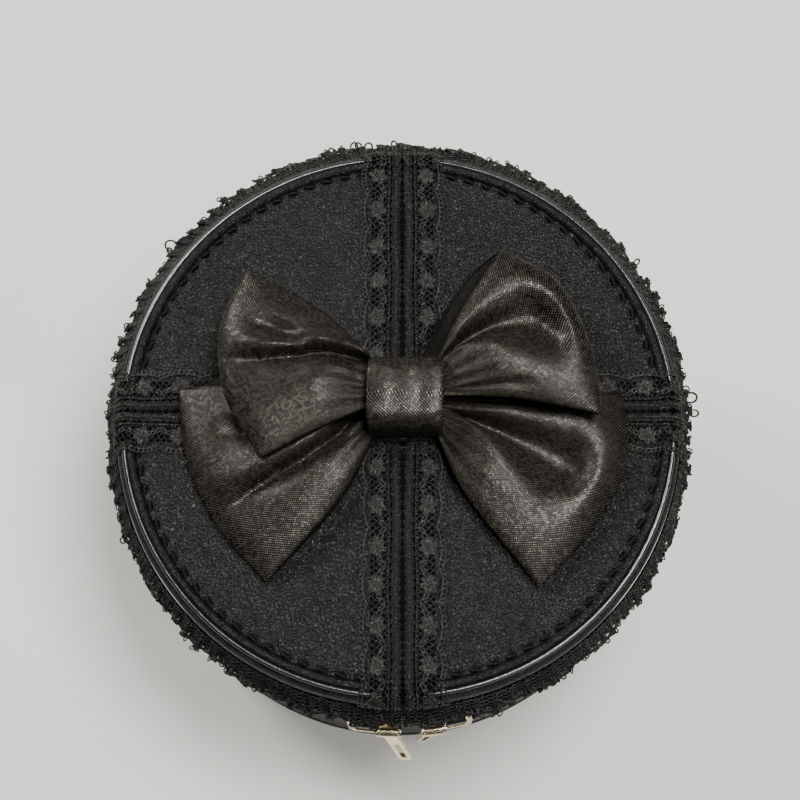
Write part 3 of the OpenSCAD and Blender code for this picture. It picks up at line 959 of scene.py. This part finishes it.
def bow_knot():
    """A satin band round the middle of the bow, pinched by the loops at both sides."""
    low, high = node_box("bow_knot")
    mid = (low + high) / 2
    half = (high - low) / 2
    steps, cols = 120, 48
    turn = np.arange(steps) * TAU / steps
    across = np.linspace(-1, 1, cols)
    t, x = np.meshgrid(turn, across, indexing="ij")
    power = 2 / 4.2
    cy = np.sign(np.cos(t)) * np.abs(np.cos(t)) ** power
    cz = np.sign(np.sin(t)) * np.abs(np.sin(t)) ** power
    roll = 1 - 0.05 * np.abs(x) ** 10
    fold = 1 + 0.010 * np.sin(3 * math.pi * x + 1.1 * np.sin(t)) + 0.012 * ripple(x * 10, t * 9, 9, 4)
    y = mid[1] + half[1] * cy * roll * fold
    z = mid[2] + half[2] * cz * roll * fold
    px = mid[0] + half[0] * x * (1 - 0.02 * np.cos(2 * t)) + 0.25 * np.sin(2 * t + 0.6)
    grid = np.dstack([px, y, z])
    middle = grid[:, cols // 2]
    around = np.linalg.norm(np.roll(middle, -1, 0) - middle, axis=1)
    uv = np.stack(np.meshgrid(np.cumsum(around), across * half[0], indexing="ij"), -1)
    faces = grid_faces(steps, cols, rows_close=True, flip=True).tolist()
    piece = make_piece("satin_knot_band", "bow_knot", grid, faces, "lid", SATIN, uv)
    thicken(piece, 0.5)


def bow_underband():
    """The flat satin tab that the bow is sewn to, with a thin rolled edge."""
    low, high = node_box("bow_underband")
    nx, ny = 40, 44
    lines = [np.linspace(low[k], high[k], n) for k, n in ((0, nx), (1, ny))]
    x, y = np.meshgrid(*lines, indexing="ij")
    edge = np.minimum(smoothstep(y - low[1], 0, 0.9), smoothstep(high[1] - y, 0, 0.9))
    z = low[2] + 0.35 + 0.7 * edge + 0.06 * ripple(x, y, 12, 8)
    top = np.dstack([x, y, z]).reshape(-1, 3)
    under = np.dstack([x, y, z * 0 + low[2]]).reshape(-1, 3)
    uv = np.tile(np.dstack([x, y]).reshape(-1, 2), (2, 1))
    piece = make_piece(
        "satin_underband", "bow_underband", np.vstack([top, under]), slab_faces(nx, ny), "lid",
        SATIN, uv,
    )


# ---- Base, zip and hinge ----


def base_wall():
    lathe(
        "base_wall_cover", "wall_cover",
        [
            (WALL_IN, 3.2), (WALL_R - 0.3, 3.2), (WALL_R, 3.6), (WALL_R, 20), (WALL_R, 40),
            (WALL_R, 60), (WALL_R, WALL_TOP - 0.7), (WALL_R - 0.2, WALL_TOP - 0.15),
            (WALL_R - 0.6, WALL_TOP), (WALL_IN + TAPE_T, WALL_TOP),
            (WALL_IN + TAPE_T, WALL_TOP - TAPE_DEPTH), (WALL_IN, WALL_TOP - TAPE_DEPTH),
        ],
        "base", LEATHER_SIDE, shift=hand_sewn(0.05, 30, 12),
    )


def base_cord():
    low, high = node_box("base_piping")
    radius = (high[2] - low[2]) / 2
    lathe(
        "base_cord", "base_piping",
        arc(high[0] - radius, (high[2] + low[2]) / 2, radius, 0, 345, 24), "base",
        CORD, shift=lambda a, r, z: (r + 0.04 * ripple(a * SIDE_R, z * 0, 19, 9), z),
    )


def base_lining():
    """Cloth inside the wall, folded over the board's raw edge."""
    lathe(
        "base_lining_cloth", "wall_lining",
        [(LINING_IN, FLOOR_Z), (BOARD_IN, FLOOR_Z), (BOARD_IN, WALL_TOP + 0.02),
         (WALL_IN, WALL_TOP + 0.02), (WALL_IN, WALL_TOP + LIP), (LINING_IN + 0.3, WALL_TOP + LIP),
         (LINING_IN, WALL_TOP - 0.1), (LINING_IN, WALL_TOP - 2), (LINING_IN, 40)],
        "base", LINING, steps=COARSE,
    )


def floor_pad():
    """A velvet pad with a rounded rim and a slightly uneven face."""
    low, high = node_box("floor_pad")
    rim = high[0]
    radii = [0.4, 15, 30, 45, 58, 68, rim - 4, rim - 1.6, rim - 0.4, rim]
    lift = [0, 0, 0, 0, 0, -0.05, -0.25, -0.6, -1.0, -1.4]

    def uneven(a, r, z):
        return r, z + 0.18 * ripple(r * np.cos(a), r * np.sin(a), 26, 14) * (z > low[2] + 0.7)

    pad = lathe(
        "floor_pad_velvet", "floor_pad",
        [(0.4, low[2]), *((r, high[2] + d) for r, d in zip(radii, lift)), (rim, low[2])],
        "base", PAD, steps=COARSE, shift=uneven,
    )


def zip_tapes():
    """The woven tapes that the teeth are sewn to."""
    inner, outer = WALL_IN, WALL_IN + TAPE_T
    for half, body, z0, z1 in (
        ("lower", "base", WALL_TOP - TAPE_DEPTH, ZIP_Z - 1.6),
        ("upper", "lid", ZIP_Z + 1.6, LID_LOW + TAPE_DEPTH),
    ):
        profile = [(inner, z0), (outer, z0), (outer, z1), (inner, z1)]
        lathe(
            f"tape_{half}", f"zip_tape_{half}", profile, body, TAPE,
            ends=(FRONT - ZIP_END, FRONT + ZIP_END), steps=400,
        )


def zip_tooth(b, a, mid_r, sign):
    """Two bowed legs and the head that joins them; sign is the side of the zip they grow from."""
    t = np.linspace(0, 1, 7)
    for leg in (-1, 1):
        r = mid_r + leg * (0.25 + 0.62 * np.sin(t * math.pi))
        path = polar(r, a, ZIP_Z + sign * (2.1 - 1.95 * t))
        b.sweep(path, np.tile(outward(a)[1], (len(t), 1)), 0.3, 5)
    r = mid_r + np.linspace(-0.5, 0.5, 4)
    path = polar(r, a, ZIP_Z + sign * 0.15 + 0 * r)
    b.sweep(path, np.tile([0, 0, 1.0], (4, 1)), 0.36, 5)


def zip_teeth():
    """Moulded teeth that mesh half a pitch apart."""
    mid_r = WALL_IN + TAPE_T / 2
    count = int(2 * ZIP_END * mid_r / ZIP_PITCH)
    for half, body, sign in (("lower", "base", -1), ("upper", "lid", 1)):
        b = Builder()
        for n in range(count):
            a = FRONT - ZIP_END + (n + 0.5 + 0.25 * sign) * ZIP_PITCH / mid_r
            zip_tooth(b, a, mid_r, sign)
        b.piece(f"teeth_{half}", f"zip_teeth_{half}", body, "zip_teeth", COIL)


def hinge_strip():
    """One leatherette strip behind the drum, sewn to the base and to the lid."""
    low, high = node_box("hinge_leaf_lower")[0][2], node_box("hinge_leaf_upper")[1][2]
    steps, rows = 60, 64
    a = np.linspace(math.pi / 2 - HINGE_HALF, math.pi / 2 + HINGE_HALF, steps)
    z = np.linspace(low, high, rows)
    wall_r, lid_r = WALL_R + 0.15, SIDE_R + 0.15
    base_r = wall_r + (lid_r - wall_r) * smoothstep(z, ZIP_Z - 2.5, ZIP_Z + 2.5)
    base_r = base_r + 0.35 * np.exp(-(((z - ZIP_Z) / 2.6) ** 2))
    ends = np.minimum(z - low, high - z)
    thick = 0.55 + 0.4 * smoothstep(ends, 0, 1.2)
    aa, zz = np.meshgrid(a, z, indexing="ij")
    points = np.stack([polar(base_r + layer * thick, aa, zz) for layer in (0, 1)])
    faces = slab_faces(steps, rows, flip=True)
    piece = make_piece("hinge_strip", None, points, faces, None, LEATHER_SIDE)
    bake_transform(piece)
    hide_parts("hinge_leaf_lower", "hinge_leaf_upper")


# ---- Gilt fittings ----


def ring_piece(side, angle):
    """A rectangle of round wire with rounded corners, where the frame's ring hangs."""
    low, high = node_box(f"ring_{side}")
    out, along = outward(FRONT_TURN + angle - math.pi / 2)
    bend = 2.0
    half = (RING_W - 2 * RING_WIRE) / 2 - bend
    drop = bend - (high[2] - low[2] - 2 * RING_WIRE)
    path = []
    for cx, cz, start in ((half, -bend, 0), (-half, -bend, 90), (-half, drop, 180), (half, drop, 270)):
        path += arc(cx, cz, bend, start, start + 90, 9)
    dense = []
    for p, q in zip(np.array(path), np.roll(path, -1, 0)):
        n = max(1, int(np.linalg.norm(q - p) / 0.8))
        dense += [p + (q - p) * k / n for k in range(n)]
    path = np.array(dense)
    reach = float((low + high)[:2] / 2 @ out[:2])
    top = high[2] - RING_WIRE
    points = reach * out + path[:, :1] * along + (top + path[:, 1:]) * np.array([0, 0, 1.0])
    b = Builder()
    b.sweep(points, np.tile(out, (len(points), 1)), RING_WIRE - 0.02, 16, True)
    b.piece(f"wire_ring_{side}", f"ring_{side}", f"ring_{side}", "gilt_metal", GILT)


# ---- Stage, light and camera ----


def cad_materials():
    """Better finishes for the CAD nodes whose shape stays."""
    finishes = {
        "base_cover": LEATHER_SIDE, "base_board": BOARD, "lid_board": BOARD,
        "lid_padding": WADDING, "ring_tab_left": CORD, "ring_tab_right": CORD,
        "slider_left": GILT, "slider_right": GILT, "pull_left": GILT, "pull_right": GILT,
    }
    for name, material in finishes.items():
        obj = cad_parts[name]
        for slot in obj.material_slots:
            slot.material = material


def area_light(name, place, aim, size, power, colour):
    data = bpy.data.lights.new(name, "AREA")
    data.shape = "RECTANGLE"
    data.size, data.size_y = size
    data.energy = power
    data.color = colour
    obj = bpy.data.objects.new(name, data)
    bpy.context.scene.collection.objects.link(obj)
    obj.location = place
    obj.rotation_euler = (Vector(aim) - Vector(place)).to_track_quat("-Z", "Y").to_euler()


def floor():
    """A pale floor with a weak glow, so that it stays pale in the low views."""
    s = Shader(
        "studio_floor", Specular_IOR_Level=0.2, Emission_Color=PALE, Emission_Strength=0.24
    )
    s.colour(s.mix(s.noise(60, 4), (0.50, 0.485, 0.46, 1), (0.55, 0.535, 0.51, 1)))
    s.rough(s.ramp(s.noise(30), 0.3, 0.7, 0.6, 0.75))
    size = 3.0
    mesh = bpy.data.meshes.new("studio_floor")
    mesh.from_pydata(
        [(-size, -size, 0), (size, -size, 0), (size, size, 0), (-size, size, 0)], [], [(0, 1, 2, 3)]
    )
    mesh.materials.append(s.material)
    obj = bpy.data.objects.new("studio_floor", mesh)
    bpy.context.scene.collection.objects.link(obj)


def background():
    """A dim, even light from all round, which looks paler than it lights."""
    world = bpy.data.worlds.new("studio")
    world.use_nodes = True
    nodes, links = world.node_tree.nodes, world.node_tree.links
    dim, pale = nodes["Background"], nodes.new("ShaderNodeBackground")
    dim.inputs["Color"].default_value = (0.93, 0.95, 1.0, 1)
    dim.inputs["Strength"].default_value = 0.055
    pale.inputs["Color"].default_value = PALE
    pale.inputs["Strength"].default_value = 0.42
    seen, chosen = nodes.new("ShaderNodeLightPath"), nodes.new("ShaderNodeMixShader")
    links.new(seen.outputs["Is Camera Ray"], chosen.inputs[0])
    links.new(dim.outputs[0], chosen.inputs[1])
    links.new(pale.outputs[0], chosen.inputs[2])
    links.new(chosen.outputs[0], nodes["World Output"].inputs["Surface"])
    bpy.context.scene.world = world


def lights():
    aim = (0, 0, LID_TOP * MM)
    area_light("key_overhead", (0.22, 0.08, 1.15), aim, (0.40, 0.34), 23, (1, 0.985, 0.96))
    area_light("rim_back_left", (-0.62, 0.52, 0.75), aim, (0.3, 0.35), 11, (1, 0.98, 0.95))
    area_light("fill_front_right", (0.55, -0.65, 0.7), aim, (0.4, 0.4), 3, (1, 0.97, 0.93))


def camera():
    """Above the front of the box, 76 degrees up, with the lens shifted as the picture is framed."""
    elevation, pitch, distance = math.radians(76.1), math.radians(72.6), 565 * MM
    focal_pixels, frame_pixels = 1900, 800
    data = bpy.data.cameras.new("camera")
    data.sensor_width = 36.0
    data.lens = data.sensor_width * focal_pixels / frame_pixels
    data.shift_y = -0.125
    data.shift_x = 0.002
    data.clip_start = 0.01
    data.clip_end = 20
    obj = bpy.data.objects.new("camera", data)
    bpy.context.scene.collection.objects.link(obj)
    obj.location = (
        0, -distance * math.cos(elevation), LID_TOP * MM + distance * math.sin(elevation)
    )
    obj.rotation_euler = (math.pi / 2 - pitch, 0, 0)
    bpy.context.scene.camera = obj


camera()
floor()
background()
lights()
cad_materials()
top_panel()
stitching()
lid_cord()
lid_side()
board_tube("lid_wall", "lid_wall_board", "lid", LID_LOW, LID_BOARD_LOW)
lid_lining()
lace_cross()
lace_frill()
bow_loops()
bow_knot()
bow_underband()
base_wall()
base_cord()
board_tube("base_wall_board", "wall_board", "base", FLOOR_Z, WALL_TOP)
base_lining()
floor_pad()
zip_tapes()
zip_teeth()
hinge_strip()
ring_piece("left", -RING_ANGLE)
ring_piece("right", RING_ANGLE)
